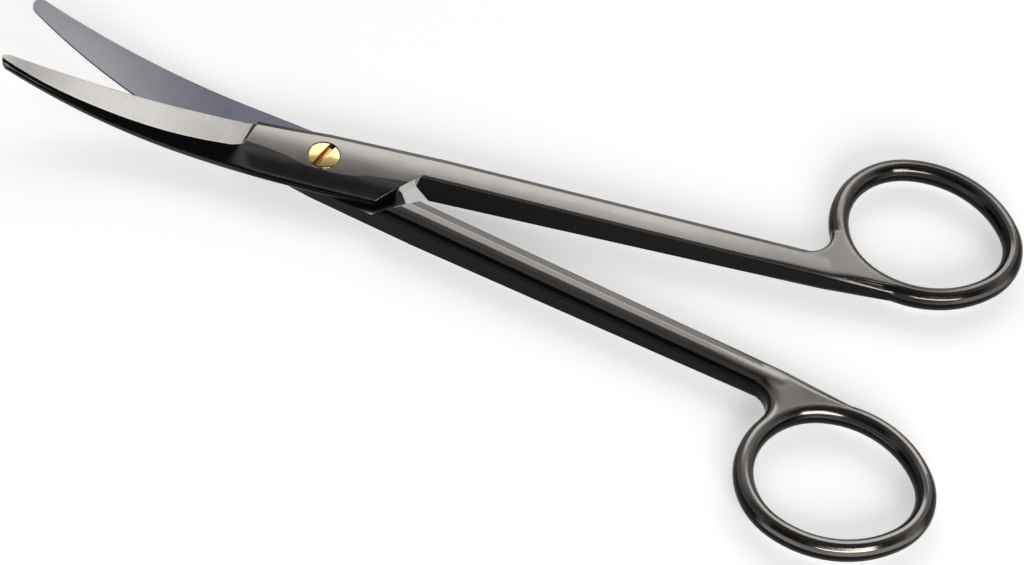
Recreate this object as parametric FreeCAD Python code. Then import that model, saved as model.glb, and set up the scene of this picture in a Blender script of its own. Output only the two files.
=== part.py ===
"""Dissecting scissors with curved blades: two forged halves on one slotted pivot screw.

Frame in millimetres: the pivot axis is Z, the flat ground under the joint rests on
z = 0, +X runs from the pivot toward the finger rings midway between them, and the ring
of the upper half is on the +Y side. Each half is drawn closed, with X along its own
shank, and is then turned about the pivot to where the scissors stand open. The lower
half is the upper one turned over, with its own share of the joint's thickness.
"""
import FreeCAD
import Part
import math
import os

os.makedirs("parts", exist_ok=True)
Vec = FreeCAD.Vector
ORIGIN = Vec(0, 0, 0)
ALONG = Vec(1, 0, 0)
ACROSS = Vec(0, 1, 0)
UP = Vec(0, 0, 1)

# Opening: angle of each half from the middle line
OPEN_HALF_ANGLE = 6.8

# Thickness: half of it at the joint and at the start of the ring
JOINT_HALF_THICK = 3.3
RING_HALF_THICK = 2.15

# Depth ground flat off the crown under the joint, which the scissors rest on
REST_FLAT_DEPTH = 0.12

# Lap surface: flat round the pivot, then an arc turned about the pivot axis
LAP_ABOVE_MIDDLE = 0.2
LAP_GAP = 0.06
LAP_FLAT_RADIUS = 15.5
BLADE_BEND_RADIUS = 92.0

# Blade, with its cutting edge on +Y and its spine on -Y
BLADE_LENGTH = 54.5
TIP_ROUND_LENGTH = 1.5
TIP_THICK = 1.6
EDGE_THICK = 0.3
EDGE_Y_JOINT = 4.88
EDGE_Y_MIDDLE = 3.58
EDGE_Y_TIP = 1.42
EDGE_MIDDLE_X = -36.0
PLATE_SIDE_X = -2.0
PLATE_SIDE_Y = -5.65
SPINE_MIDDLE_X = -30.0
SPINE_Y_MIDDLE = -3.85
SPINE_Y_TIP = -1.72

# Ridge between the bevel and the spine, and how far the bevel is ground past it
RIDGE_Y_JOINT = -1.5
RIDGE_Y_MIDDLE = -2.15
RIDGE_Y_TIP = -0.9
PLATE_FACET_Y = -2.0
BEVEL_PAST_RIDGE = 0.15
BEVEL_UNDER_CROWN = 0.06
BEVEL_STATIONS = 6

# Rounding of the spine: bulge of its side, and the knee where the long facet starts
SPINE_BULGE_JOINT = 0.35
SPINE_BULGE_TIP = 0.12
SPINE_BULGE_LEVEL = 0.33
SPINE_KNEE_ACROSS = 0.8
SPINE_KNEE_LEVEL = 0.66
SPINE_KNEE_SAG = 0.14
SPINE_STATIONS = 7

# Step from the joint plate down to the bevel, and the wheel that runs out before it
STEP_X = -12.0
STEP_SKEW = 13.0
STEP_SLANT = 22.0
RUNOUT_LENGTH = 4.0
RUNOUT_RADIUS = 9.0
PLATE_EDGE_Y_STEP = 3.75
PLATE_EDGE_Y_PIVOT = 4.65

# End of the plate and the shoulder that it closes against
PLATE_END_X = 15.4
PLATE_END_ANGLE = 45.5
PLATE_END_UNDERCUT = 8.0
SHOULDER_X = 16.0
SHOULDER_ANGLE = 46.8
SHOULDER_SLANT = 28.0

# Shank, with bevels along its outer face and a rounded back
SHANK_INNER_Y = 0.25
SHANK_OUTER_Y_JOINT = 4.93
SHANK_OUTER_Y_RING = 4.68
SHANK_START_X = 18.5
SHANK_END_X = 84.0
CROWN_RADIUS = 32.0
CROWN_Y = 1.6
OUTER_BEVEL_WIDTH = 0.9
OUTER_EDGE_DROP = 0.4
INNER_BEVEL = 0.35
BACK_BEVEL_WIDTH = 1.5
BACK_BEVEL_DROP = 0.45
BACK_ROUND = 2.0
BACK_FLATS = 4

# Where the shank dies into the ring's bar
JOIN_X = 97.0
JOIN_INNER_Y = 0.6
JOIN_OUTER_Y = 2.9
JOIN_HALF_THICK = 1.25
JOIN_ROUND = 0.6

# Web between the shank's outer side and the ring, with a filleted corner
WEB_FILLET_RADIUS = 3.7
WEB_HALF_THICK = 2.08
WEB_BACK_ROUND = 1.8
WEB_BEVEL = 0.35

# Finger ring: five tangent arcs of a fifth of a turn each, of which the last two close it
RING_START = (111.36, 7.33)
RING_START_TURN = 48.4
RING_RADIUS_BACK = 9.85
RING_RADIUS_OUTER = 17.2
RING_RADIUS_FRONT = 12.07
RING_ARCS = 5
RING_BAR_RADIAL = 1.70
RING_BAR_HEIGHT = 2.10
RING_BAR_FLATS = 16

# Pivot screw
HEAD_RADIUS = 2.6
HEAD_RIM = 0.25
HEAD_SUNK = 0.05
HEAD_DOME = 0.25
SCREW_RADIUS = 1.5
SLOT_WIDTH = 1.05
SLOT_DEPTH = 0.7
SLOT_ANGLE = 75.0
RUNNING_CLEARANCE = 0.05
FIXED_CLEARANCE = 0.02
SCREW_END_RECESS = 0.1

TIP_X = TIP_ROUND_LENGTH - BLADE_LENGTH
MIDDLE_Z = JOINT_HALF_THICK - REST_FLAT_DEPTH
LAP_Z = MIDDLE_Z + LAP_ABOVE_MIDDLE
TOP_Z = MIDDLE_Z + JOINT_HALF_THICK
STEP_Y = PLATE_EDGE_Y_STEP

# Size of the cutting solids, their overshoots, and what counts as the same length
REACH = BLADE_LENGTH + SHANK_START_X
PAST = OUTER_BEVEL_WIDTH + BACK_ROUND
BRIM = 0.5 * PAST
SAME = 0.001


def rise(radius):
    """Height of the lap surface above its flat part, at a distance from the pivot axis."""
    past = max(radius - LAP_FLAT_RADIUS, 0.0)
    return BLADE_BEND_RADIUS - math.sqrt(BLADE_BEND_RADIUS ** 2 - past ** 2)


def between(x, x0, x1, v0, v1):
    """Value that runs straight from v0 at x0 to v1 at x1, and stays level past both."""
    share = min(max((x - x0) / (x1 - x0), 0.0), 1.0)
    return v0 + share * (v1 - v0)


def stations(first, last, count):
    """Even stations from first to last."""
    return [first + (last - first) * i / (count - 1) for i in range(count)]


def parabola(x, p, q, r):
    """Y at x on the parabola through three points."""
    (x0, y0), (x1, y1), (x2, y2) = p, q, r
    a = y0 * (x - x1) * (x - x2) / ((x0 - x1) * (x0 - x2))
    b = y1 * (x - x0) * (x - x2) / ((x1 - x0) * (x1 - x2))
    c = y2 * (x - x0) * (x - x1) / ((x2 - x0) * (x2 - x1))
    return a + b + c


def edge_y(x):
    """Y of the cutting edge, and of the joint's outer side behind it."""
    if x > STEP_X:
        return between(x, STEP_X, SHANK_START_X, EDGE_Y_JOINT, SHANK_OUTER_Y_JOINT)
    return parabola(x, (STEP_X, EDGE_Y_JOINT), (EDGE_MIDDLE_X, EDGE_Y_MIDDLE), (TIP_X, EDGE_Y_TIP))


def spine_y(x):
    """Y of the spine at the lap surface; the plate's side behind it runs straight."""
    side = (PLATE_SIDE_X, PLATE_SIDE_Y)
    return parabola(min(x, PLATE_SIDE_X), side, (SPINE_MIDDLE_X, SPINE_Y_MIDDLE), (TIP_X, SPINE_Y_TIP))


def ridge_y(x):
    """Y of the ridge between bevel and spine, and of the plate facet's border behind it."""
    if x > STEP_X:
        return between(x, STEP_X, 0.0, RIDGE_Y_JOINT, PLATE_FACET_Y)
    return parabola(x, (STEP_X, RIDGE_Y_JOINT), (SPINE_MIDDLE_X, RIDGE_Y_MIDDLE), (TIP_X, RIDGE_Y_TIP))


def plate_edge_y(x):
    """Y of the joint's outer top edge, which draws in toward the step."""
    if x > 0:
        return between(x, 0.0, SHANK_START_X, PLATE_EDGE_Y_PIVOT, SHANK_OUTER_Y_JOINT)
    return between(x, STEP_X, 0.0, PLATE_EDGE_Y_STEP, PLATE_EDGE_Y_PIVOT)


def crown(y, half_thick):
    """Height of the crowned face above the middle plane."""
    return half_thick - CROWN_RADIUS + math.sqrt(CROWN_RADIUS ** 2 - (y - CROWN_Y) ** 2)


def line(a, b):
    """Straight edge."""
    return Part.LineSegment(a, b).toShape()


def arc(a, via, b):
    """Circular edge through three points."""
    return Part.Arc(a, via, b).toShape()


def box(size_x, size_y, size_z, corner):
    """Block with its lowest corner at a point."""
    return Part.makeBox(size_x, size_y, size_z, corner)


class Side:
    """Which half is drawn: the upper one, or the lower one turned over under the lap."""

    def __init__(self, name, sign):
        self.name = name
        self.sign = sign
        self.lap = sign * LAP_ABOVE_MIDDLE
        self.plate_thick = JOINT_HALF_THICK - self.lap

    def point(self, x, y, z):
        """Point at height z above the middle plane of the closed half, following the blade's bend."""
        return Vec(x, self.sign * y, MIDDLE_Z + self.sign * z + (rise(-x) if x < 0 else 0.0))

    def top(self, x):
        """Height of the half's outer face above the middle plane."""
        return self.lap + between(x, STEP_X, TIP_X, self.plate_thick, TIP_THICK)

    def plan_turn(self, angle):
        """Turn about Z that lays a slab's face at this angle to the X axis."""
        return self.sign * math.copysign(90.0 - abs(angle), angle)


def slab_past(place, turn, slant):
    """Slab whose near face goes through a point, leaning away from the pivot as it rises."""
    slab = box(REACH, 2 * REACH, 2 * REACH, Vec(0, -REACH, -REACH))
    slab.rotate(ORIGIN, ACROSS, slant)
    slab.rotate(ORIGIN, UP, turn)
    slab.translate(place)
    return slab


def lap_solid(level, over):
    """Everything over or under the lap surface, out past the blade tips."""
    bend_mid = 0.5 * (LAP_FLAT_RADIUS + REACH)
    far = REACH if over else -REACH
    centre = Vec(0, 0, level)
    bend = Vec(LAP_FLAT_RADIUS, 0, level)
    end = Vec(REACH, 0, level + rise(REACH))
    edges = [
        line(centre, bend),
        arc(bend, Vec(bend_mid, 0, level + rise(bend_mid)), end),
        line(end, Vec(REACH, 0, far)),
        line(Vec(REACH, 0, far), Vec(0, 0, far)),
        line(Vec(0, 0, far), centre),
    ]
    return Part.Face(Part.Wire(edges)).revolve(ORIGIN, UP, 360)


def front_blank(side):
    """Blade and joint as a flat blank, cut to outline in plan."""
    spine = spine_y(TIP_X) - SPINE_BULGE_TIP
    radius = 0.5 * (EDGE_Y_TIP - spine)
    tip = radius - BLADE_LENGTH
    middle = 0.5 * (EDGE_Y_TIP + spine)
    edge_mid = 0.5 * (STEP_X + tip)
    wide = PLATE_SIDE_Y - 2.0 * SPINE_BULGE_JOINT

    def p(x, y):
        return Vec(x, side.sign * y, -REACH)

    belly = p(0.5 * tip, spine_y(0.5 * tip) - SPINE_BULGE_JOINT)
    edges = [
        line(p(SHANK_START_X, SHANK_OUTER_Y_JOINT), p(STEP_X, EDGE_Y_JOINT)),
        arc(p(STEP_X, EDGE_Y_JOINT), p(edge_mid, edge_y(edge_mid)), p(tip, EDGE_Y_TIP)),
        arc(p(tip, EDGE_Y_TIP), p(tip - radius, middle), p(tip, spine)),
        line(p(tip, spine), belly),
        line(belly, p(0.0, wide)),
        line(p(0.0, wide), p(SHANK_START_X, wide)),
        line(p(SHANK_START_X, wide), p(SHANK_START_X, SHANK_OUTER_Y_JOINT)),
    ]
    return Part.Face(Part.Wire(edges)).extrude(Vec(0, 0, 2 * REACH))


def crown_cutter(side):
    """Everything outside the crowned face of the joint."""
    top = side.point(0, 0, JOINT_HALF_THICK).z
    start = STEP_X - RUNOUT_LENGTH - PAST
    length = SHANK_START_X - start + PAST
    roll = Part.makeCylinder(CROWN_RADIUS, length, Vec(start, side.sign * CROWN_Y, top - side.sign * CROWN_RADIUS), ALONG)
    low = top - PAST if side.sign > 0 else top + PAST - REACH
    return box(length, 2 * CROWN_RADIUS, REACH, Vec(start, -CROWN_RADIUS, low)).cut(roll)


def edge_cutter(side):
    """What is cut off the joint's outer side: the leaning wall and the bevel strip above it."""
    wires = []
    for x in (STEP_X - PAST, 0.5 * STEP_X, 0.0, 0.5 * SHANK_START_X, SHANK_START_X + PAST):
        outer = plate_edge_y(x)
        bevel = outer - OUTER_BEVEL_WIDTH
        high = JOINT_HALF_THICK - OUTER_EDGE_DROP
        crest = crown(bevel, JOINT_HALF_THICK)
        lean = (edge_y(x) - outer) / (high - side.lap)
        slope = (crest - high) / OUTER_BEVEL_WIDTH
        low = side.lap - PAST
        points = [
            side.point(x, edge_y(x) + lean * PAST, low),
            side.point(x, outer, high),
            side.point(x, bevel - PAST, crest + slope * PAST),
            side.point(x, bevel - PAST, REACH),
            side.point(x, outer + PAST, REACH),
            side.point(x, outer + PAST, low),
        ]
        wires.append(Part.makePolygon(points + points[:1]))
    return Part.makeLoft(wires, True, True)


def spine_cutter(side):
    """What is cut off round the convex spine, from the plate's end to past the tip."""
    wires = []
    for x in stations(SHANK_START_X + BRIM, TIP_X - PAST, SPINE_STATIONS):
        top = side.top(x)
        thick = top - side.lap
        ridge = ridge_y(x)
        spine = spine_y(x)
        crest = crown(ridge, top)
        bulge = between(x, 0.0, TIP_X, SPINE_BULGE_JOINT, SPINE_BULGE_TIP)
        knee_y = ridge + SPINE_KNEE_ACROSS * (spine - ridge)
        knee_z = side.lap + SPINE_KNEE_LEVEL * thick
        sag = SPINE_KNEE_SAG * thick / JOINT_HALF_THICK
        slope = (crest - knee_z - 2.0 * sag) / (ridge - knee_y)
        bottom = side.point(x, spine, side.lap)
        belly = side.point(x, spine - bulge, side.lap + SPINE_BULGE_LEVEL * thick)
        knee = side.point(x, knee_y, knee_z)
        facet = side.point(x, 0.5 * (ridge + knee_y), 0.5 * (crest + knee_z) + sag)
        border = side.point(x, ridge, crest)
        clear = side.point(x, ridge + BRIM, crest + BRIM * slope)
        above = side.point(x, ridge + BRIM, REACH)
        beside = side.point(x, spine - 3.0 * PAST, REACH)
        below = side.point(x, spine - 3.0 * PAST, side.lap - BRIM)
        under = side.point(x, spine, side.lap - BRIM)
        edges = [arc(bottom, belly, knee), arc(knee, facet, border), line(border, clear), line(clear, above)]
        edges += [line(above, beside), line(beside, below), line(below, under), line(under, bottom)]
        wires.append(Part.Wire(edges))
    return Part.makeLoft(wires, True, False)


def bevel_line(side, x):
    """Ends of a straight line across the bevel at x, past the cutting edge and past the ridge."""
    low_y = edge_y(min(x, STEP_X))
    high_y = ridge_y(min(x, STEP_X)) - BEVEL_PAST_RIDGE
    low = side.lap + EDGE_THICK
    high = crown(high_y, side.top(x)) - BEVEL_UNDER_CROWN
    slope = (high - low) / (high_y - low_y)
    return side.point(x, low_y + PAST, low + PAST * slope), side.point(x, high_y - PAST, high - PAST * slope)


def runout_guard(side):
    """What the grinding wheel leaves standing where it runs out of the bevel before the step."""
    low, high = bevel_line(side, STEP_X - RUNOUT_LENGTH)
    along = (high - low).normalize()
    normal = Vec(0, -along.z, along.y)
    if normal.z * side.sign < 0:
        normal = -normal
    axis = low - along * PAST + normal * RUNOUT_RADIUS
    wheel = Part.makeCylinder(RUNOUT_RADIUS, REACH, axis, along)
    block = box(2 * RUNOUT_LENGTH, 2 * REACH, REACH + PAST, Vec(0, -REACH, -REACH))
    block.rotate(ORIGIN, ALONG, math.degrees(math.atan2(-normal.y, normal.z)))
    block.translate(low)
    return block.cut(wheel)


def bevel_cutter(side):
    """Solid over the blade's bevel, from the step to past the tip."""
    far = MIDDLE_Z + side.sign * REACH
    wires = []
    for x in stations(STEP_X + 2.0 * PAST, TIP_X - 2.0 * PAST, BEVEL_STATIONS):
        p, q = bevel_line(side, x)
        wires.append(Part.makePolygon([p, q, Vec(q.x, q.y, far), Vec(p.x, p.y, far), p]))
    solid = Part.makeLoft(wires, True, False)
    edge = Vec(STEP_X, side.sign * STEP_Y, MIDDLE_Z + side.sign * side.top(STEP_X))
    step = slab_past(edge, -side.sign * STEP_SKEW, side.sign * STEP_SLANT)
    return solid.cut(step).cut(runout_guard(side))


def inner_cutter(side):
    """Everything on the inner side of the shank, with the small bevel along its top edge."""
    flat_y = SHANK_INNER_Y + INNER_BEVEL
    points = [
        side.point(0.0, -REACH, -REACH),
        side.point(0.0, SHANK_INNER_Y, -REACH),
        side.point(0.0, SHANK_INNER_Y, JOINT_HALF_THICK - INNER_BEVEL),
        side.point(0.0, flat_y, crown(flat_y, JOINT_HALF_THICK)),
        side.point(0.0, flat_y, REACH),
        side.point(0.0, -REACH, REACH),
    ]
    return Part.Face(Part.makePolygon(points + points[:1])).extrude(ALONG * REACH)


def rounded_corner(side, x, y, z, radius):
    """Points of an outer back corner that is rounded in narrow flats."""
    points = []
    for i in range(BACK_FLATS + 1):
        turn = 0.5 * math.pi * i / BACK_FLATS
        points.append(side.point(x, y - radius + radius * math.sin(turn), z + radius - radius * math.cos(turn)))
    return points


def shank_section(side, x, inner, outer, half_thick):
    """Outline of the shank across X: crowned in front, its outer back corner rounded."""
    bevel_y = outer - OUTER_BEVEL_WIDTH
    flat_y = inner + INNER_BEVEL
    middle = 0.5 * (bevel_y + flat_y)
    points = [
        side.point(x, flat_y, crown(flat_y, half_thick)),
        side.point(x, inner, half_thick - INNER_BEVEL),
        side.point(x, inner, BACK_BEVEL_DROP - half_thick),
        side.point(x, inner + BACK_BEVEL_WIDTH, -half_thick),
    ]
    points += rounded_corner(side, x, outer, -half_thick, BACK_ROUND)
    points.append(side.point(x, outer, half_thick - OUTER_EDGE_DROP))
    points.append(side.point(x, bevel_y, crown(bevel_y, half_thick)))
    edges = [line(a, b) for a, b in zip(points[:-1], points[1:])]
    return Part.Wire(edges + [arc(points[-1], side.point(x, middle, crown(middle, half_thick)), points[0])])


def join_section(side):
    """Small outline inside the ring's bar, where the shank ends."""
    inner, outer, thick = JOIN_INNER_Y, JOIN_OUTER_Y, JOIN_HALF_THICK
    scale = (outer - inner) / (SHANK_OUTER_Y_RING - SHANK_INNER_Y)
    bevel_y = outer - OUTER_BEVEL_WIDTH * scale
    flat_y = inner + INNER_BEVEL * scale
    points = [
        side.point(JOIN_X, flat_y, thick),
        side.point(JOIN_X, inner, thick - INNER_BEVEL * scale),
        side.point(JOIN_X, inner, BACK_BEVEL_DROP * scale - thick),
        side.point(JOIN_X, inner + BACK_BEVEL_WIDTH * scale, -thick),
    ]
    points += rounded_corner(side, JOIN_X, outer, -thick, JOIN_ROUND)
    points.append(side.point(JOIN_X, outer, thick - OUTER_EDGE_DROP * scale))
    points.append(side.point(JOIN_X, bevel_y, thick))
    edges = [line(a, b) for a, b in zip(points[:-1], points[1:])]
    top = side.point(JOIN_X, 0.5 * (bevel_y + flat_y), thick + (bevel_y - flat_y) ** 2 / (8.0 * CROWN_RADIUS))
    return Part.Wire(edges + [arc(points[-1], top, points[0])])


def ring_arcs():
    """Centre, radius, start point and start direction of each of the ring's arcs."""
    turn = 2.0 * math.pi / RING_ARCS
    turns = [math.radians(RING_START_TURN) + i * turn for i in range(RING_ARCS + 1)]
    steps = []
    for t0, t1 in zip(turns[:-1], turns[1:]):
        steps.append((math.sin(t1) - math.sin(t0), math.cos(t0) - math.cos(t1)))
    radii = [RING_RADIUS_BACK, RING_RADIUS_OUTER, RING_RADIUS_FRONT]
    rest_x = -sum(r * s[0] for r, s in zip(radii, steps))
    rest_y = -sum(r * s[1] for r, s in zip(radii, steps))
    (ax, ay), (bx, by) = steps[-2:]
    cross = ax * by - ay * bx
    radii += [(rest_x * by - rest_y * bx) / cross, (ax * rest_y - ay * rest_x) / cross]
    arcs = []
    x, y = RING_START
    for radius, start, step in zip(radii, turns, steps):
        arcs.append((x - radius * math.sin(start), y + radius * math.cos(start), radius, x, y))
        x += radius * step[0]
        y += radius * step[1]
    return arcs


def bar_outline(middle, out):
    """Bar of the ring across its run: an oval of many narrow flats."""
    points = []
    for i in range(RING_BAR_FLATS + 1):
        turn = 2.0 * math.pi * i / RING_BAR_FLATS
        points.append(middle + out * (RING_BAR_RADIAL * math.cos(turn)) + UP * (RING_BAR_HEIGHT * math.sin(turn)))
    return Part.makePolygon(points)


def finger_ring(side):
    """Oval ring, its bar turned arc by arc."""
    pieces = []
    for centre_x, centre_y, radius, x, y in ring_arcs():
        centre = side.point(centre_x, centre_y, 0.0)
        start = side.point(x, y, 0.0)
        out = (start - centre).normalize()
        pieces.append(Part.Face(bar_outline(start, out)).revolve(centre, UP, side.sign * 360.0 / RING_ARCS))
    return pieces


def arc_between(side, arc_data, start, end, z):
    """Edge along one of the ring's arcs, between two points of it."""
    centre_x, centre_y, radius = arc_data[:3]
    mid_x = 0.5 * (start[0] + end[0]) - centre_x
    mid_y = 0.5 * (start[1] + end[1]) - centre_y
    grow = radius / math.hypot(mid_x, mid_y)
    via = side.point(centre_x + grow * mid_x, centre_y + grow * mid_y, z)
    return arc(side.point(*start, z), via, side.point(*end, z))


def ring_web(side):
    """Flat web between shank and ring, flush with both, its outer corner filleted into both."""
    arcs = ring_arcs()
    centre_x, centre_y, radius = arcs[3][:3]
    fillet = WEB_FILLET_RADIUS
    reach = radius + RING_BAR_RADIAL + fillet
    y = SHANK_OUTER_Y_RING + fillet
    x = centre_x - math.sqrt(reach ** 2 - (y - centre_y) ** 2)
    share = fillet / reach
    touch_x = x + share * (centre_x - x)
    touch_y = y + share * (centre_y - y)
    toward_x = 0.5 * (touch_x + x) - x
    toward_y = 0.5 * (touch_y + SHANK_OUTER_Y_RING) - y
    length = math.hypot(toward_x, toward_y)
    low = -WEB_HALF_THICK
    start = side.point(x, SHANK_OUTER_Y_RING, low)
    corner = side.point(x + fillet * toward_x / length, y + fillet * toward_y / length, low)
    touch = side.point(touch_x, touch_y, low)
    bar = RING_BAR_RADIAL / radius
    in_bar = (touch_x + bar * (centre_x - touch_x), touch_y + bar * (centre_y - touch_y))
    meet = arcs[4][3:5]
    bottom = (arcs[4][0], arcs[4][1] - arcs[4][2])
    inside = side.point(x, SHANK_INNER_Y + INNER_BEVEL, low)
    edges = [arc(start, corner, touch), line(touch, side.point(*in_bar, low))]
    edges += [arc_between(side, arcs[3], in_bar, meet, low), arc_between(side, arcs[4], meet, bottom, low)]
    edges += [line(side.point(*bottom, low), inside), line(inside, start)]
    web = Part.Face(Part.Wire(edges)).extrude(UP * (2.0 * side.sign * WEB_HALF_THICK))
    web = web.makeFillet(WEB_BACK_ROUND, corner_edges(web, start.z, edges[0].Length))
    front = start.z + 2.0 * side.sign * WEB_HALF_THICK
    return web.makeChamfer(WEB_BEVEL, corner_edges(web, front, edges[0].Length))


def corner_edges(web, height, length):
    """The web's filleted corner edge at a height, known by its length."""
    found = []
    for edge in web.Edges:
        level = edge.BoundBox.ZLength < SAME and abs(edge.BoundBox.ZMin - height) < SAME
        if level and abs(edge.Length - length) < SAME:
            found.append(edge)
    return found


def make_half(side):
    """One forged half, drawn closed."""
    up = side.sign > 0
    front = front_blank(side)
    for cutter in (crown_cutter, edge_cutter, spine_cutter, bevel_cutter):
        front = front.cut(cutter(side))
    front = front.cut(lap_solid(LAP_Z, not up))
    end = slab_past(Vec(PLATE_END_X, 0, LAP_Z), side.plan_turn(-PLATE_END_ANGLE), side.sign * PLATE_END_UNDERCUT)
    front = front.cut(end.common(inner_cutter(side)))
    inside = shank_section(side, 0.5 * SHOULDER_X, SHANK_INNER_Y, SHANK_OUTER_Y_JOINT, JOINT_HALF_THICK)
    joint = shank_section(side, SHANK_START_X, SHANK_INNER_Y, SHANK_OUTER_Y_JOINT, JOINT_HALF_THICK)
    ring = shank_section(side, SHANK_END_X, SHANK_INNER_Y, SHANK_OUTER_Y_RING, RING_HALF_THICK)
    shoulder = slab_past(Vec(SHOULDER_X, 0, LAP_Z), side.plan_turn(SHOULDER_ANGLE), -side.sign * SHOULDER_SLANT)
    root = Part.makeLoft([inside, joint], True, True).cut(lap_solid(LAP_Z, up)).common(shoulder)
    rear = Part.makeLoft([joint, ring], True, True)
    join = Part.makeLoft([ring, join_section(side)], True, True)
    half = front.multiFuse([root, rear, join, ring_web(side)] + finger_ring(side))
    notch = lap_solid(LAP_Z + side.sign * 0.5 * LAP_GAP, not up).cut(shoulder)
    under = box(3 * REACH, 2 * REACH, REACH, Vec(-REACH, -REACH, -REACH))
    return half.cut(notch).cut(under).removeSplitter()


def make_screw():
    """Slotted countersunk screw with a slightly domed head, its end ground off under the lower half."""
    rim = TOP_Z - HEAD_SUNK
    seat = TOP_Z - HEAD_RIM - HEAD_SUNK
    neck = seat - (HEAD_RADIUS - SCREW_RADIUS)
    end = Vec(0, 0, SCREW_END_RECESS)
    dome_radius = 0.5 * (HEAD_RADIUS ** 2 + HEAD_DOME ** 2) / HEAD_DOME
    dome_z = rim + HEAD_DOME - dome_radius
    half_way = 0.5 * HEAD_RADIUS
    shoulder = Vec(half_way, 0, dome_z + math.sqrt(dome_radius ** 2 - half_way ** 2))
    profile = [
        line(end, Vec(SCREW_RADIUS, 0, SCREW_END_RECESS)),
        line(Vec(SCREW_RADIUS, 0, SCREW_END_RECESS), Vec(SCREW_RADIUS, 0, neck)),
        line(Vec(SCREW_RADIUS, 0, neck), Vec(HEAD_RADIUS, 0, seat)),
        line(Vec(HEAD_RADIUS, 0, seat), Vec(HEAD_RADIUS, 0, rim)),
        arc(Vec(HEAD_RADIUS, 0, rim), shoulder, Vec(0, 0, rim + HEAD_DOME)),
        line(Vec(0, 0, rim + HEAD_DOME), end),
    ]
    screw = Part.Face(Part.Wire(profile)).revolve(ORIGIN, UP, 360)
    length = 4 * HEAD_RADIUS
    slot = box(length, SLOT_WIDTH, SLOT_DEPTH + PAST, Vec(-0.5 * length, -0.5 * SLOT_WIDTH, TOP_Z - SLOT_DEPTH))
    slot.rotate(ORIGIN, UP, SLOT_ANGLE)
    return screw.cut(slot)


def screw_hole(upper):
    """Bore for the screw: countersunk and running free in the upper half, close in the lower half."""
    if not upper:
        return Part.makeCylinder(SCREW_RADIUS + FIXED_CLEARANCE, 2 * REACH, Vec(0, 0, -REACH))
    head = HEAD_RADIUS + RUNNING_CLEARANCE
    hole = SCREW_RADIUS + RUNNING_CLEARANCE
    seat = TOP_Z - HEAD_RIM - HEAD_SUNK - RUNNING_CLEARANCE
    outline = [
        Vec(0, 0, -REACH),
        Vec(hole, 0, -REACH),
        Vec(hole, 0, seat - (HEAD_RADIUS - SCREW_RADIUS)),
        Vec(head, 0, seat),
        Vec(head, 0, REACH),
        Vec(0, 0, REACH),
        Vec(0, 0, -REACH),
    ]
    return Part.Face(Part.makePolygon(outline)).revolve(ORIGIN, UP, 360)


for name, sign in (("upper_half", 1.0), ("lower_half", -1.0)):
    half = make_half(Side(name, sign)).cut(screw_hole(sign > 0))
    half.rotate(ORIGIN, UP, sign * OPEN_HALF_ANGLE)
    print(name, half.isValid(), len(half.Solids), round(half.Volume, 1))
    half.exportStep("parts/" + name + ".step")

screw = make_screw()
print("pivot_screw", screw.isValid(), round(screw.Volume, 2))
screw.exportStep("parts/pivot_screw.step")
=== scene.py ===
"""Dissecting scissors: black polished steel halves on a gold slotted screw, on a pale floor."""

import logging
import math
from dataclasses import dataclass
from enum import Enum
from typing import Dict, Tuple

import bpy
from mathutils import Matrix, Vector

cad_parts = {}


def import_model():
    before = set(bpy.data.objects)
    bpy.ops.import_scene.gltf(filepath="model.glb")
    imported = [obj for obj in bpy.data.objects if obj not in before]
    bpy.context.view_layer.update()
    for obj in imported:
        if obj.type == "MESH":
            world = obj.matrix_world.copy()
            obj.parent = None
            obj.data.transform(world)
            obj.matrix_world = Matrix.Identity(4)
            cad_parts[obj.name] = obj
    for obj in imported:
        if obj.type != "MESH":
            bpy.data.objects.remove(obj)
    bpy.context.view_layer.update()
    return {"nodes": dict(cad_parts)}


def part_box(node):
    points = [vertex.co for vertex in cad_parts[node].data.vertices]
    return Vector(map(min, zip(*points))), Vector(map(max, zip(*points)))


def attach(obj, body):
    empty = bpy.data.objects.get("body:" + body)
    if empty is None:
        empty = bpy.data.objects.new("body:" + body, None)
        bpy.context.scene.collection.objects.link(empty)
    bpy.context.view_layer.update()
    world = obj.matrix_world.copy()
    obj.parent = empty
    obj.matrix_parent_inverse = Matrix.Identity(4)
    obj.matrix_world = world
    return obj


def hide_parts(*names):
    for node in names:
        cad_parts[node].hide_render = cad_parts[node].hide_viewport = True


LOG = logging.getLogger("scissors")
MM = 0.001
Bounds = Tuple[float, float]
Colour = Tuple[float, float, float]
Point = Tuple[float, float, float]
Socket = bpy.types.NodeSocket
Material = bpy.types.Material

# Angle of each half from the middle line, in degrees
OPEN_HALF_ANGLE = 6.8
# Where the blade starts, before the pivot, and the height of the flat lap faces, in millimetres
STEP_X = -12.0
LAP_Z = 3.38

UPWARD: Point = (0.0, 0.0, 1.0)
UNIT: Bounds = (0.0, 1.0)
FALLING: Bounds = (1.0, 0.0)

# What the lamps are aimed at, in metres
MIDDLE: Point = (0.03, 0.0, 0.0)
# Edges sharper than this are rounded and stay crisp, in degrees
SHARP_ANGLE = 35.0


class Face(Enum):
    """Which way the bevel of a half faces as the scissors lie."""

    UP = 1.0
    DOWN = -1.0


def millimetres(bounds: Bounds) -> Bounds:
    """Turns two lengths from millimetres into metres.

    Args:
        bounds: The two lengths, in millimetres.

    Returns:
        The same lengths, in metres.
    """
    return bounds[0] * MM, bounds[1] * MM


def darker(colour: Colour, share: float) -> Colour:
    """Darkens a colour.

    Args:
        colour: The colour.
        share: How much of its light is left.

    Returns:
        The darker colour.
    """
    return tuple(share * level for level in colour)


def select_only(piece: bpy.types.Object) -> None:
    """Selects one piece alone and makes it the active one.

    Args:
        piece: The piece.
    """
    bpy.ops.object.select_all(action="DESELECT")
    piece.select_set(True)
    bpy.context.view_layer.objects.active = piece


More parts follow.
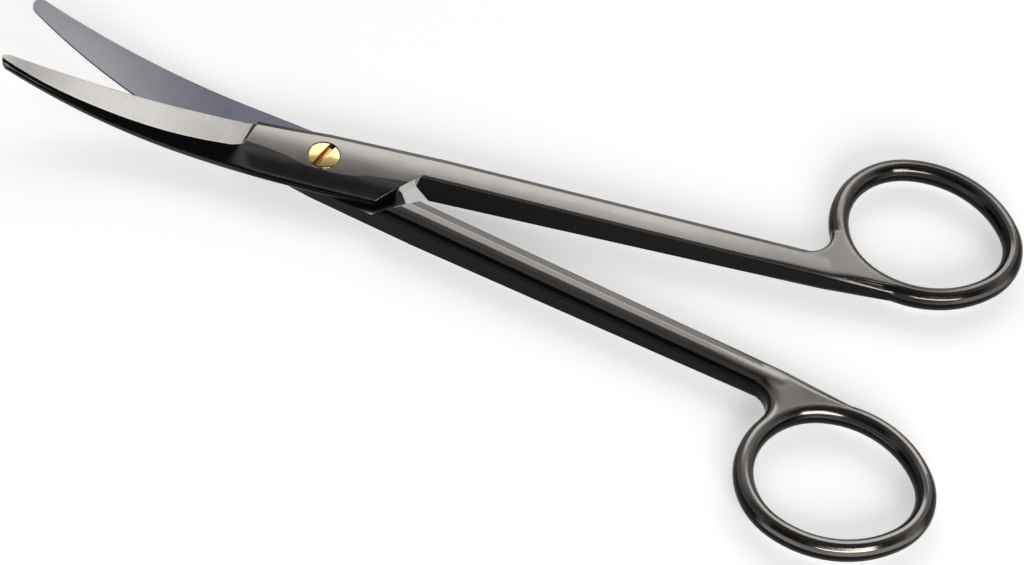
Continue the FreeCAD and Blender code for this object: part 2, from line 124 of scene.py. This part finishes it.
class Graph:
    """A material's nodes, added and linked one by one."""

    def __init__(self, name: str) -> None:
        """Starts a material with only its shader and output.

        Args:
            name: Name of the material.
        """
        self.material = bpy.data.materials.new(name)
        self.material.use_nodes = True
        self.nodes = self.material.node_tree.nodes
        self.links = self.material.node_tree.links
        self.shader = self.nodes["Principled BSDF"]

    def add(self, kind: str, **settings: object) -> bpy.types.Node:
        """Adds a node.

        Args:
            kind: Blender's name of the node type.
            **settings: Values of the node's own properties.

        Returns:
            The new node.
        """
        node = self.nodes.new(kind)
        for key, value in settings.items():
            setattr(node, key, value)
        return node

    def join(self, source: Socket, target: Socket) -> None:
        """Links two nodes.

        Args:
            source: The output.
            target: The input that it feeds.
        """
        self.links.new(source, target)

    def maths(self, operation: str, *values: object) -> Socket:
        """Adds a maths node.

        Args:
            operation: The operation's name.
            *values: Numbers or outputs, one for each input.

        Returns:
            The node's output.
        """
        node = self.add("ShaderNodeMath", operation=operation)
        for socket, value in zip(node.inputs, values):
            if isinstance(value, (int, float)):
                socket.default_value = value
            else:
                self.join(value, socket)
        return node.outputs["Value"]

    def times(self, first: Socket, *factors: object) -> Socket:
        """Multiplies values.

        Args:
            first: The first value.
            *factors: Numbers or outputs to multiply it by.

        Returns:
            The product.
        """
        product = first
        for factor in factors:
            product = self.maths("MULTIPLY", product, factor)
        return product

    def most(self, first: Socket, *others: Socket) -> Socket:
        """Picks the largest value.

        Args:
            first: The first value.
            *others: The values to compare it with.

        Returns:
            The largest of them.
        """
        largest = first
        for other in others:
            largest = self.maths("MAXIMUM", largest, other)
        return largest

    def remainder(self, value: Socket) -> Socket:
        """Takes a value from one.

        Args:
            value: The value, from 0 to 1.

        Returns:
            What is left of one.
        """
        return self.maths("SUBTRACT", 1.0, value)

    def dot(self, vector: Socket, direction: Point) -> Socket:
        """Measures how far a vector points along a direction.

        Args:
            vector: The vector.
            direction: The direction.

        Returns:
            Its length along the direction.
        """
        node = self.add("ShaderNodeVectorMath", operation="DOT_PRODUCT")
        self.join(vector, node.inputs[0])
        node.inputs[1].default_value = direction
        return node.outputs["Value"]

    def ramp(self, value: Socket, bounds: Bounds, results: Bounds = UNIT) -> Socket:
        """Turns a value between two bounds into another range, smoothly.

        Args:
            value: The value to read.
            bounds: Values at which the change starts and ends.
            results: Results at and below the first bound, and at and above the second.

        Returns:
            The result.
        """
        node = self.add("ShaderNodeMapRange", interpolation_type="SMOOTHSTEP")
        self.join(value, node.inputs["Value"])
        node.inputs["From Min"].default_value = bounds[0]
        node.inputs["From Max"].default_value = bounds[1]
        node.inputs["To Min"].default_value = results[0]
        node.inputs["To Max"].default_value = results[1]
        return node.outputs["Result"]

    def blend(self, share: Socket, low: object, high: object) -> Socket:
        """Mixes two colours, each a constant or an output.

        Args:
            share: How much of the second colour shows.
            low: First colour.
            high: Second colour.

        Returns:
            The mixed colour.
        """
        node = self.add("ShaderNodeMix", data_type="RGBA")
        self.join(share, node.inputs["Factor"])
        for socket, value in ((node.inputs["A"], low), (node.inputs["B"], high)):
            if isinstance(value, tuple):
                socket.default_value = (*value, 1.0)
            else:
                self.join(value, socket)
        return node.outputs["Result"]

    def noise(self, place: Socket, scale: Point, detail: float = 2.0) -> Socket:
        """Adds noise over the object, stretched by its own scale along each axis.

        Args:
            place: Object coordinates.
            scale: Waves a metre along each axis.
            detail: Octaves of finer noise.

        Returns:
            The noise, from 0 to 1.
        """
        mapping = self.add("ShaderNodeMapping")
        self.join(place, mapping.inputs["Vector"])
        mapping.inputs["Scale"].default_value = scale
        node = self.add("ShaderNodeTexNoise")
        self.join(mapping.outputs["Vector"], node.inputs["Vector"])
        node.inputs["Scale"].default_value = 1.0
        node.inputs["Detail"].default_value = detail
        return node.outputs["Fac"]


@dataclass(frozen=True)
class StudioCamera:
    """The camera that looks down on the scissors from the lower left.

    Its place, lens and sensor are in millimetres, and right, up and back are its own axes.
    """

    place: Point = (119.785, -405.331, 569.766)
    right: Point = (0.939672, 0.329482, 0.091972)
    up: Point = (-0.320480, 0.753909, 0.573510)
    back: Point = (0.119622, -0.568386, 0.814019)
    lens: float = 150.788
    sensor: float = 36.0
    nearest: float = 10.0

    def set_up(self) -> None:
        """Adds the camera and makes it the scene's own."""
        bpy.ops.object.camera_add()
        camera = bpy.context.object
        camera.name = "studio_camera"
        columns = zip(self.right, self.up, self.back)
        turn = Matrix([list(row) for row in columns])
        camera.matrix_world = Matrix.Translation(Vector(self.place) * MM) @ turn.to_4x4()
        camera.data.lens = self.lens
        camera.data.sensor_width = self.sensor
        camera.data.sensor_fit = "HORIZONTAL"
        camera.data.clip_start = self.nearest * MM
        camera.data.dof.use_dof = False
        bpy.context.scene.camera = camera


@dataclass(frozen=True)
class Softbox:
    """One rectangular soft lamp, aimed at the middle of the scissors.

    The azimuth runs from +Y toward +X and the elevation up from the floor, in degrees. The
    lengths are in metres and the power is in watts.
    """

    name: str
    azimuth: float
    elevation: float
    distance: float
    width: float
    height: float
    power: float
    colour: Colour

    def hang(self) -> None:
        """Adds the lamp, turned to face the scissors."""
        azimuth = math.radians(self.azimuth)
        elevation = math.radians(self.elevation)
        flat = math.cos(elevation) * self.distance
        middle = Vector(MIDDLE)
        rise = math.sin(elevation) * self.distance
        place = middle + Vector((flat * math.sin(azimuth), flat * math.cos(azimuth), rise))
        bpy.ops.object.light_add(type="AREA", location=place)
        lamp = bpy.context.object
        lamp.name = self.name
        lamp.rotation_euler = (middle - place).to_track_quat("-Z", "Y").to_euler()
        lamp.data.shape = "RECTANGLE"
        lamp.data.size = self.width
        lamp.data.size_y = self.height
        lamp.data.energy = self.power
        lamp.data.color = self.colour


BACK_SOFTBOX = Softbox(
    name="back_softbox",
    azimuth=-10.0,
    elevation=41.0,
    distance=2.0,
    width=1.9,
    height=0.92,
    power=10.4,
    colour=(1.0, 0.985, 0.965),
)
FRONT_SOFTBOX = Softbox(
    name="front_softbox",
    azimuth=146.0,
    elevation=28.0,
    distance=1.1,
    width=0.76,
    height=0.42,
    power=7.0,
    colour=(1.0, 0.97, 0.93),
)


@dataclass(frozen=True)
class Studio:
    """Pale floor, soft lamps and an even surround.

    The surround is bright all round and dims near dark_side, the photographer's side, as the
    cosine of the angle from it rises through dimming.
    """

    floor_size: float = 6.0
    floor_colour: Colour = (0.9, 0.9, 0.9)
    floor_rough: float = 0.9
    floor_glow: float = 0.48
    bright: float = 0.4
    dim: float = 0.03
    dark_side: Point = (0.1, -0.6, 0.79)
    dimming: Bounds = (0.4, 0.72)
    lamps: Tuple[Softbox, ...] = (BACK_SOFTBOX, FRONT_SOFTBOX)

    def build(self) -> None:
        """Lays the floor, hangs the lamps and sets the surround."""
        bpy.ops.mesh.primitive_plane_add(size=self.floor_size, location=(0.0, 0.0, 0.0))
        floor = bpy.context.object
        floor.name = "floor"
        floor.data.materials.append(self.floor_material())
        for lamp in self.lamps:
            lamp.hang()
            LOG.info("lamp: %s", lamp.name)
        bpy.context.scene.world = self.surround()
        bpy.context.scene.view_settings.view_transform = "Standard"

    def surround(self) -> bpy.types.World:
        """Makes even light all round that dims toward the photographer's side.

        Returns:
            The world.
        """
        world = bpy.data.worlds.new("surround")
        world.use_nodes = True
        nodes, links = world.node_tree.nodes, world.node_tree.links
        way = nodes.new("ShaderNodeTexCoord")
        toward = nodes.new("ShaderNodeVectorMath")
        toward.operation = "DOT_PRODUCT"
        toward.inputs[1].default_value = self.dark_side
        links.new(way.outputs["Generated"], toward.inputs[0])
        fade = nodes.new("ShaderNodeMapRange")
        fade.interpolation_type = "SMOOTHSTEP"
        links.new(toward.outputs["Value"], fade.inputs["Value"])
        fade.inputs["From Min"].default_value = self.dimming[0]
        fade.inputs["From Max"].default_value = self.dimming[1]
        fade.inputs["To Min"].default_value = self.bright
        fade.inputs["To Max"].default_value = self.dim
        nodes["Background"].inputs["Color"].default_value = (1.0, 1.0, 1.0, 1.0)
        links.new(fade.outputs["Result"], nodes["Background"].inputs["Strength"])
        return world

    def floor_material(self) -> Material:
        """Makes matt paper that keeps the shadows and is white to the camera and in reflections.

        Returns:
            The floor's material.
        """
        graph = Graph("white_paper")
        graph.shader.inputs["Base Color"].default_value = (*self.floor_colour, 1.0)
        graph.shader.inputs["Roughness"].default_value = self.floor_rough
        graph.shader.inputs["Specular IOR Level"].default_value = 0.0
        path = graph.add("ShaderNodeLightPath")
        seen = graph.maths("ADD", path.outputs["Is Camera Ray"], path.outputs["Is Glossy Ray"])
        seen = graph.maths("ADD", seen, path.outputs["Is Transmission Ray"])
        seen = graph.maths("MINIMUM", seen, 1.0)
        glow = graph.add("ShaderNodeEmission")
        graph.join(graph.times(seen, self.floor_glow), glow.inputs["Strength"])
        both = graph.add("ShaderNodeAddShader")
        graph.join(graph.shader.outputs["BSDF"], both.inputs[0])
        graph.join(glow.outputs["Emission"], both.inputs[1])
        graph.join(both.outputs["Shader"], graph.nodes["Material Output"].inputs["Surface"])
        return graph.material


class HalfPlace:
    """Where a point of a half lies and which way it faces, in the half's own directions."""

    def __init__(self, graph: Graph, half_angle: float, bevel: Face) -> None:
        """Adds the nodes that measure the half.

        Args:
            graph: The material's nodes.
            half_angle: Angle of the half from the middle line, in degrees.
            bevel: Which way the half's bevel faces.
        """
        source = graph.add("ShaderNodeTexCoord")
        turn = math.radians(half_angle)
        self.side: float = bevel.value
        self.along: Point = (math.cos(turn), math.sin(turn), 0.0)
        self.across: Point = (-math.sin(turn), math.cos(turn), 0.0)
        self.spot: Socket = source.outputs["Object"]
        self.normal: Socket = source.outputs["Normal"]
        self.far = graph.dot(self.spot, self.along)
        self.wide = graph.times(graph.dot(self.spot, self.across), self.side)
        self.height = graph.dot(self.spot, UPWARD)
        self.facing_up = graph.dot(self.normal, UPWARD)
        self.facing_across = graph.dot(self.normal, self.across)


@dataclass(frozen=True)
class StepShape:
    """The slanted step from the joint plate down to the blade, as the finishes see it.

    The leans are millimetres along the half for each millimetre across it, and the lengths are
    in millimetres.
    """

    lean: float = 0.392
    shift: float = 1.29
    wedge_lean: float = 0.3
    wedge_width: float = 0.2
    line: Bounds = (-0.06, 0.06)
    fade_lean: float = -1.5
    fade_shift: float = -1.9
    fade_least: float = 0.2
    fade: Bounds = (-0.1, 1.0)

    def past(self, graph: Graph, place: HalfPlace) -> Socket:
        """Measures how far past the step's edge a point lies, toward the rings.

        Args:
            graph: The material's nodes.
            place: Where the point lies.

        Returns:
            The distance, in metres.
        """
        edge = graph.maths("MULTIPLY_ADD", place.wide, self.lean, (STEP_X - self.shift) * MM)
        return graph.maths("SUBTRACT", place.far, edge)

    def before(self, graph: Graph, place: HalfPlace) -> Socket:
        """Finds the blade, which stops short of the step by a dark wedge.

        Args:
            graph: The material's nodes.
            place: Where the point lies.

        Returns:
            One on the blade and none past the wedge.
        """
        wedge = graph.maths("MULTIPLY_ADD", place.wide, self.wedge_lean, self.wedge_width * MM)
        to_wedge = graph.maths("ADD", self.past(graph, place), wedge)
        return graph.ramp(to_wedge, millimetres(self.line), FALLING)

    def spine(self, graph: Graph, place: HalfPlace) -> Socket:
        """Finds the blade's back, which keeps the black coat, and fades it out slowly over the
        plate's outer side as painted shade.

        Args:
            graph: The material's nodes.
            place: Where the point lies.

        Returns:
            One along the blade's back and none on the plate.
        """
        # Painted shade: the lighter top colour fades out slowly over the plate's outer side
        width = graph.maths("MULTIPLY_ADD", place.wide, self.fade_lean, self.fade_shift * MM)
        width = graph.maths("MAXIMUM", width, self.fade_least * MM)
        return graph.ramp(graph.maths("DIVIDE", self.past(graph, place), width), self.fade, FALLING)


@dataclass(frozen=True)
class Runs:
    """Stretches along a half over which its finish changes, in millimetres past the pivot."""

    blade_tip: Bounds = (-58.0, -16.0)
    blade_start: Bounds = (STEP_X - 1.1, STEP_X - 0.9)
    lap_end: Bounds = (7.0, 8.0)
    plate_end: Bounds = (18.0, 20.0)
    ring_darkening: Bounds = (50.0, 90.0)
    web: Bounds = (68.0, 80.0)
    polish: Bounds = (76.0, 90.0)
    shank_end: Bounds = (78.0, 84.0)
    ring_highlight: Bounds = (84.0, 94.0)
    ring: Bounds = (88.0, 98.0)


@dataclass(frozen=True)
class Facings:
    """How squarely a face looks a way before it takes a finish, as cosines of the angle."""

    top: Bounds = (0.6, 0.93)
    ring_highlight: Bounds = (0.3, 0.65)
    back_edge_shade: Bounds = (0.33, 0.39)
    bevel_across: Bounds = (0.12, 0.2)
    bevel_up: Bounds = (0.3, 0.5)
    lap: Bounds = (0.8, 0.88)
    plate_end: Bounds = (0.93, 0.97)


@dataclass(frozen=True)
class Grain:
    """Fine grinding lines and soft smudges.

    The scales are waves a metre, the contrasts are the parts of the noise that count, and the
    shades say how dark the lines and smudges get. The depth is in millimetres.
    """

    lines_scale: Point = (9000.0, 260.0, 260.0)
    cloud_scale: Point = (180.0, 180.0, 180.0)
    detail: float = 3.0
    contrast: Bounds = (0.3, 0.7)
    smudge_contrast: Bounds = (0.35, 0.75)
    lines_shade: float = 0.9
    cloud_shade: float = 0.82
    smudge: float = 0.05
    depth: float = 0.02
    strength: float = 0.12


@dataclass(frozen=True)
class Masks:
    """Where each finish of a half shows, from 0 to 1."""

    spine: Socket
    top: Socket
    bevel: Socket
    lap: Socket
    plate_end: Socket


@dataclass(frozen=True)
class BlackSteel:
    """Hard black coating on polished steel, its blades ground satin and its upward tops painted
    lighter as a painted reflection.

    The widths of the rounded edges and the bands are in millimetres.
    """

    name: str
    half_angle: float
    bevel: Face
    # Share of the tops' painted lighter colour that is left at the rings
    ring_darkening: float = 0.62

    coat: Colour = (0.004, 0.004, 0.005)
    # Painted reflection: the lighter steel colour that upward tops take instead of the black coat
    top: Colour = (0.28, 0.264, 0.25)
    ground: Colour = (0.76, 0.735, 0.71)
    inside: Colour = (0.14, 0.146, 0.182)
    inside_tip: Colour = (0.56, 0.56, 0.6)
    # Painted reflection: the pale colour of the slanted plate end wall
    end_wall_reflection: Colour = (0.85, 0.84, 0.82)

    gloss: float = 0.08
    polished: float = 0.12
    rubbed: float = 0.22
    satin: float = 0.33
    coat_ior: Bounds = (1.16, 1.4)

    edge_round: float = 0.2
    ring_round: float = 0.3
    web_round: float = 1.1
    round_samples: int = 12

    # Painted highlight on the rings' near sides: faces turned this way take the lighter top colour
    ring_highlight_way: Point = (0.35, -0.93, 0.0)
    ring_highlight_gain: Bounds = (-0.1, 0.34)
    # Painted shade: share of the lighter top colour taken off the upper half's shank edge that
    # faces back
    back_edge_shade_share: float = 0.8
    lap_band: Bounds = (0.1, 0.2)
    plate_end_way: Bounds = (0.741, -0.671)
    plate_end_band: Bounds = (-2.7, -2.3)

    step: StepShape = StepShape()
    runs: Runs = Runs()
    facings: Facings = Facings()
    grain: Grain = Grain()

    def material(self) -> Material:
        """Builds the finish.

        Returns:
            The material.
        """
        graph = Graph(self.name)
        place = HalfPlace(graph, self.half_angle, self.bevel)
        masks = self.masks(graph, place)
        lines = graph.noise(place.spot, self.grain.lines_scale, self.grain.detail)
        cloud = graph.noise(place.spot, self.grain.cloud_scale, self.grain.detail)
        worked = graph.most(masks.bevel, masks.lap)
        metal = graph.most(masks.top, masks.bevel, masks.lap, masks.plate_end)
        inputs = graph.shader.inputs
        graph.join(self.colour(graph, place, masks, lines, cloud), inputs["Base Color"])
        graph.join(metal, inputs["Metallic"])
        graph.join(self.roughness(graph, place, masks, worked, cloud), inputs["Roughness"])
        graph.join(graph.ramp(masks.spine, UNIT, self.coat_ior), inputs["IOR"])
        graph.join(self.surface(graph, place, worked, lines), inputs["Normal"])
        return graph.material

    def masks(self, graph: Graph, place: HalfPlace) -> Masks:
        """Finds where each finish shows.

        Args:
            graph: The material's nodes.
            place: Where the point lies.

        Returns:
            The masks.
        """
        spine = self.step.spine(graph, place)
        return Masks(
            spine=spine,
            top=self.top_mask(graph, place, spine),
            bevel=self.bevel_mask(graph, place),
            lap=self.lap_mask(graph, place),
            plate_end=self.plate_end_mask(graph, place),
        )

    def top_mask(self, graph: Graph, place: HalfPlace, spine: Socket) -> Socket:
        """Finds the upward tops, which take a lighter steel colour as a painted reflection,
        reaching down the near sides of the rings as a painted highlight.

        Args:
            graph: The material's nodes.
            place: Where the point lies.
            spine: Mask of the blade's back and of the painted shade over the plate's outer side.

        Returns:
            The mask.
        """
        # Painted highlight: the rings' near sides take more of the lighter top colour
        ring_highlight = graph.dot(place.normal, self.ring_highlight_way)
        ring_highlight = graph.ramp(ring_highlight, self.facings.ring_highlight, self.ring_highlight_gain)
        ring_highlight = graph.times(ring_highlight, graph.ramp(place.far, millimetres(self.runs.ring_highlight)))
        level = graph.maths("ADD", graph.maths("ABSOLUTE", place.facing_up), ring_highlight)
        top = graph.times(graph.ramp(level, self.facings.top), graph.remainder(spine))
        # Painted shade: on the upper half's shank, the edge that faces back keeps the black coat
        if self.bevel is Face.UP:
            fall = (self.back_edge_shade_share, 0.0)
            on_shank = graph.ramp(place.far, millimetres(self.runs.shank_end), fall)
            facing_back = graph.ramp(place.facing_across, self.facings.back_edge_shade)
            back_edge_shade = graph.times(facing_back, on_shank)
            top = graph.times(top, graph.remainder(back_edge_shade))
        return top

    def bevel_mask(self, graph: Graph, place: HalfPlace) -> Socket:
        """Finds the blade's ground bevel.

        Args:
            graph: The material's nodes.
            place: Where the point lies.

        Returns:
            The mask.
        """
        across = graph.ramp(graph.times(place.facing_across, place.side), self.facings.bevel_across)
        upward = graph.ramp(graph.times(place.facing_up, place.side), self.facings.bevel_up)
        return graph.times(self.step.before(graph, place), across, upward)

    def lap_mask(self, graph: Graph, place: HalfPlace) -> Socket:
        """Finds the ground inner faces on which the halves slide.

        Args:
            graph: The material's nodes.
            place: Where the point lies.

        Returns:
            The mask.
        """
        inward = graph.ramp(graph.times(place.facing_up, -place.side), self.facings.lap)
        off_lap = graph.maths("ABSOLUTE", graph.maths("SUBTRACT", place.height, LAP_Z * MM))
        on_plate = graph.ramp(off_lap, millimetres(self.lap_band), FALLING)
        on_blade = graph.ramp(place.far, millimetres(self.runs.blade_start), FALLING)
        before_end = graph.ramp(place.far, millimetres(self.runs.lap_end), FALLING)
        return graph.times(graph.most(on_blade, on_plate), inward, before_end)

    def plate_end_mask(self, graph: Graph, place: HalfPlace) -> Socket:
        """Finds the slanted wall that ends the recess for the other half's plate, which takes a
        pale steel colour as a painted reflection.

        Args:
            graph: The material's nodes.
            place: Where the point lies.

        Returns:
            The mask.
        """
        ahead, aside = self.plate_end_way
        way = tuple(ahead * a + aside * place.side * b for a, b in zip(place.along, place.across))
        facing = graph.ramp(graph.dot(place.normal, way), self.facings.plate_end)
        inner = graph.ramp(place.wide, millimetres(self.plate_end_band))
        on_plate = graph.ramp(place.far, millimetres(self.runs.plate_end), FALLING)
        return graph.times(facing, inner, on_plate)

    def colour(
        self, graph: Graph, place: HalfPlace, masks: Masks, lines: Socket, cloud: Socket
    ) -> Socket:
        """Blends the colours of the finishes.

        Args:
            graph: The material's nodes.
            place: Where the point lies.
            masks: Where each finish shows.
            lines: Noise of the grinding lines.
            cloud: Noise of the smudges.

        Returns:
            The colour.
        """
        grain = self.grain
        line_dark = darker(self.ground, grain.lines_shade)
        ground = graph.blend(graph.ramp(lines, grain.contrast), line_dark, self.ground)
        cloud_dark = darker(self.inside, grain.cloud_shade)
        inside = graph.blend(graph.ramp(cloud, grain.contrast), cloud_dark, self.inside)
        to_tip = graph.ramp(place.far, millimetres(self.runs.blade_tip), FALLING)
        inside = graph.blend(to_tip, inside, self.inside_tip)
        # Painted reflection: upward tops take the lighter steel colour, darker toward the rings;
        # the rest keeps the black coat
        to_ring = graph.ramp(place.far, millimetres(self.runs.ring_darkening))
        steel = graph.blend(to_ring, self.top, darker(self.top, self.ring_darkening))
        colour = graph.blend(masks.top, self.coat, steel)
        colour = graph.blend(masks.bevel, colour, ground)
        colour = graph.blend(masks.lap, colour, inside)
        # Painted reflection: the plate end wall takes the pale colour
        return graph.blend(masks.plate_end, colour, self.end_wall_reflection)

    def roughness(
        self, graph: Graph, place: HalfPlace, masks: Masks, worked: Socket, cloud: Socket
    ) -> Socket:
        """Blends the gloss of the finishes.

        Args:
            graph: The material's nodes.
            place: Where the point lies.
            masks: Where each finish shows.
            worked: Mask of the ground faces.
            cloud: Noise of the smudges.

        Returns:
            The roughness.
        """
        smudge = graph.times(graph.ramp(cloud, self.grain.smudge_contrast), self.grain.smudge)
        rubbed = graph.ramp(place.far, millimetres(self.runs.polish), (self.rubbed, self.polished))
        rough = graph.ramp(worked, UNIT, (self.gloss, self.satin))
        rough = graph.most(rough, graph.times(masks.top, rubbed))
        return graph.maths("ADD", rough, smudge)

    def surface(self, graph: Graph, place: HalfPlace, worked: Socket, lines: Socket) -> Socket:
        """Rounds the edges in the shading, most along the web's seams, and adds grinding lines.

        Args:
            graph: The material's nodes.
            place: Where the point lies.
            worked: Mask of the ground faces.
            lines: Noise of the grinding lines.

        Returns:
            The normal.
        """
        to_web = millimetres((self.edge_round, self.web_round))
        web = graph.ramp(place.far, millimetres(self.runs.web), to_web)
        less = (self.web_round - self.ring_round) * MM
        ring = graph.ramp(place.far, millimetres(self.runs.ring), (0.0, less))
        rounded = graph.add("ShaderNodeBevel", samples=self.round_samples)
        graph.join(graph.maths("SUBTRACT", web, ring), rounded.inputs["Radius"])
        bump = graph.add("ShaderNodeBump")
        bump.inputs["Distance"].default_value = self.grain.depth * MM
        graph.join(lines, bump.inputs["Height"])
        graph.join(graph.times(worked, self.grain.strength), bump.inputs["Strength"])
        graph.join(rounded.outputs["Normal"], bump.inputs["Normal"])
        return bump.outputs["Normal"]


@dataclass(frozen=True)
class GoldPlate:
    """Polished gold plating, with painted shade in the slot, where it turns dark brown.

    The heights of the slot and the width of the rounded edges are in millimetres.
    """

    name: str = "gold_plate"
    colour: Colour = (0.93, 0.66, 0.28)
    # Painted shade: the dark brown below the head's top, in the slot
    slot_shade: Colour = (0.42, 0.22, 0.07)
    slot: Bounds = (5.9, 6.35)
    rough: Bounds = (0.13, 0.21)
    cloud_scale: Point = (900.0, 900.0, 900.0)
    cloud_range: Bounds = (0.3, 0.8)
    edge_round: float = 0.15
    round_samples: int = 6

    def material(self) -> Material:
        """Builds the finish.

        Returns:
            The material.
        """
        graph = Graph(self.name)
        inputs = graph.shader.inputs
        spot = graph.add("ShaderNodeTexCoord").outputs["Object"]
        # Painted shade: darker and browner below the head's top
        level = graph.ramp(graph.dot(spot, UPWARD), millimetres(self.slot))
        graph.join(graph.blend(level, self.slot_shade, self.colour), inputs["Base Color"])
        cloud = graph.noise(spot, self.cloud_scale)
        graph.join(graph.ramp(cloud, self.cloud_range, self.rough), inputs["Roughness"])
        inputs["Metallic"].default_value = 1.0
        rounded = graph.add("ShaderNodeBevel", samples=self.round_samples)
        rounded.inputs["Radius"].default_value = self.edge_round * MM
        graph.join(rounded.outputs["Normal"], inputs["Normal"])
        return graph.material


@dataclass(frozen=True)
class PivotScrew:
    """Slotted countersunk screw with a slightly domed head and rounded edges.

    The lengths are in millimetres and the slot's angle is in degrees.
    """

    head_radius: float = 2.6
    head_rim: float = 0.25
    head_dome: float = 0.25
    shank_radius: float = 1.5
    slot_width: float = 1.05
    slot_depth: float = 0.55
    slot_lift: float = 0.05
    slot_angle: float = 75.0
    edge_round: float = 0.07
    edge_facets: int = 3
    sides: int = 96
    dome_steps: int = 7

    def build(self) -> bpy.types.Object:
        """Models the screw over its node.

        Returns:
            The finished piece.
        """
        low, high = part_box("pivot_screw")
        rim = high[2] - self.head_dome * MM
        screw = self.start_head(rim)
        bpy.ops.object.mode_set(mode="EDIT")
        self.raise_dome()
        self.pull_shank(rim, low[2])
        bpy.ops.object.mode_set(mode="OBJECT")
        self.cut_slot(screw, rim)
        soften(screw, self.edge_round, self.edge_facets)
        return screw

    def start_head(self, rim: float) -> bpy.types.Object:
        """Draws the head's outline as one round face.

        Args:
            rim: Height of the head's rim, in metres.

        Returns:
            The screw, so far a flat disc.
        """
        bpy.ops.mesh.primitive_circle_add(
            vertices=self.sides,
            radius=self.head_radius * MM,
            fill_type="NGON",
            location=(0.0, 0.0, rim),
        )
        screw = bpy.context.object
        screw.name = "gold_screw"
        bpy.ops.object.transform_apply(location=True)
        return screw

    def raise_dome(self) -> None:
        """Insets the face step by step, each a little higher, into a shallow dome."""
        bpy.ops.mesh.select_all(action="SELECT")
        ball = 0.5 * (self.head_radius ** 2 + self.head_dome ** 2) / self.head_dome
        step = self.head_radius / (self.dome_steps + 0.5)
        radius, height = self.head_radius, 0.0
        for _ in range(self.dome_steps):
            radius -= step
            rise = math.sqrt(ball ** 2 - radius ** 2) - (ball - self.head_dome) - height
            bpy.ops.mesh.inset(thickness=step * MM, depth=rise * MM)
            height += rise

    def pull_shank(self, rim: float, bottom: float) -> None:
        """Pulls the open rim down into the head's side, its cone and the shank, and closes it.

        Args:
            rim: Height of the head's rim, in metres.
            bottom: Height of the shank's end, in metres.
        """
        bpy.ops.mesh.select_mode(type="EDGE")
        bpy.ops.mesh.select_all(action="DESELECT")
        bpy.ops.mesh.select_non_manifold()
        side = self.head_rim * MM
        cone = (self.head_radius - self.shank_radius) * MM
        shank = rim - side - cone - bottom
        shrink = self.shank_radius / self.head_radius
        bpy.ops.mesh.extrude_region_move(TRANSFORM_OT_translate={"value": (0.0, 0.0, -side)})
        bpy.ops.mesh.extrude_region_move(TRANSFORM_OT_translate={"value": (0.0, 0.0, -cone)})
        bpy.ops.transform.resize(value=(shrink, shrink, 1.0))
        bpy.ops.mesh.extrude_region_move(TRANSFORM_OT_translate={"value": (0.0, 0.0, -shank)})
        bpy.ops.mesh.edge_face_add()
        bpy.ops.mesh.select_all(action="SELECT")
        bpy.ops.mesh.normals_make_consistent(inside=False)

    def cut_slot(self, screw: bpy.types.Object, rim: float) -> None:
        """Cuts the slot across the head.

        Args:
            screw: The screw.
            rim: Height of the head's rim, in metres.
        """
        top = rim + self.slot_lift * MM
        bpy.ops.mesh.primitive_cube_add(size=1.0, location=(0.0, 0.0, top))
        cutter = bpy.context.object
        length = 4.0 * self.head_radius
        cutter.scale = (length * MM, self.slot_width * MM, 2.0 * self.slot_depth * MM)
        cutter.rotation_euler = (0.0, 0.0, math.radians(self.slot_angle))
        cut = screw.modifiers.new("slot", "BOOLEAN")
        cut.operation = "DIFFERENCE"
        cut.solver = "EXACT"
        cut.object = cutter
        select_only(screw)
        bpy.ops.object.modifier_apply(modifier=cut.name)
        bpy.data.objects.remove(cutter, do_unlink=True)


def soften(piece: bpy.types.Object, width: float, facets: int) -> None:
    """Rounds a piece's sharp edges and smooths the rest.

    Args:
        piece: The piece.
        width: Width of the rounding, in millimetres.
        facets: Facets across it.
    """
    select_only(piece)
    edge = piece.modifiers.new("edge_round", "BEVEL")
    edge.width = width * MM
    edge.segments = facets
    edge.limit_method = "ANGLE"
    edge.angle_limit = math.radians(SHARP_ANGLE)
    bpy.ops.object.modifier_apply(modifier=edge.name)
    bpy.ops.object.shade_smooth_by_angle(angle=math.radians(SHARP_ANGLE))


@dataclass(frozen=True)
class Scissors:
    """The three pieces and their finishes."""

    upper: BlackSteel = BlackSteel("black_steel_upper", OPEN_HALF_ANGLE, Face.UP)
    lower: BlackSteel = BlackSteel("black_steel_lower", -OPEN_HALF_ANGLE, Face.DOWN, ring_darkening=0.85)
    plate: GoldPlate = GoldPlate()
    pivot: PivotScrew = PivotScrew()

    def dress(self, nodes: Dict[str, bpy.types.Object]) -> None:
        """Gives each piece its finish.

        Args:
            nodes: The frame's objects by name.
        """
        for name, finish in (("upper_half", self.upper), ("lower_half", self.lower)):
            node = nodes[name]
            node.data.materials.clear()
            node.data.materials.append(finish.material())
            LOG.info("%s: %s", name, finish.name)
        screw = self.pivot.build()
        screw.data.materials.append(self.plate.material())
        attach(screw, "lower")
        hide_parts("pivot_screw")
        LOG.info("%s: %s", screw.name, self.plate.name)


def main() -> None:
    """Builds the scene piece by piece."""
    logging.basicConfig(level=logging.INFO, format="%(name)s: %(message)s")
    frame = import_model()
    bpy.ops.object.select_all(action="DESELECT")
    StudioCamera().set_up()
    Studio().build()
    Scissors().dress(frame["nodes"])


if __name__ == "__main__":
    main()
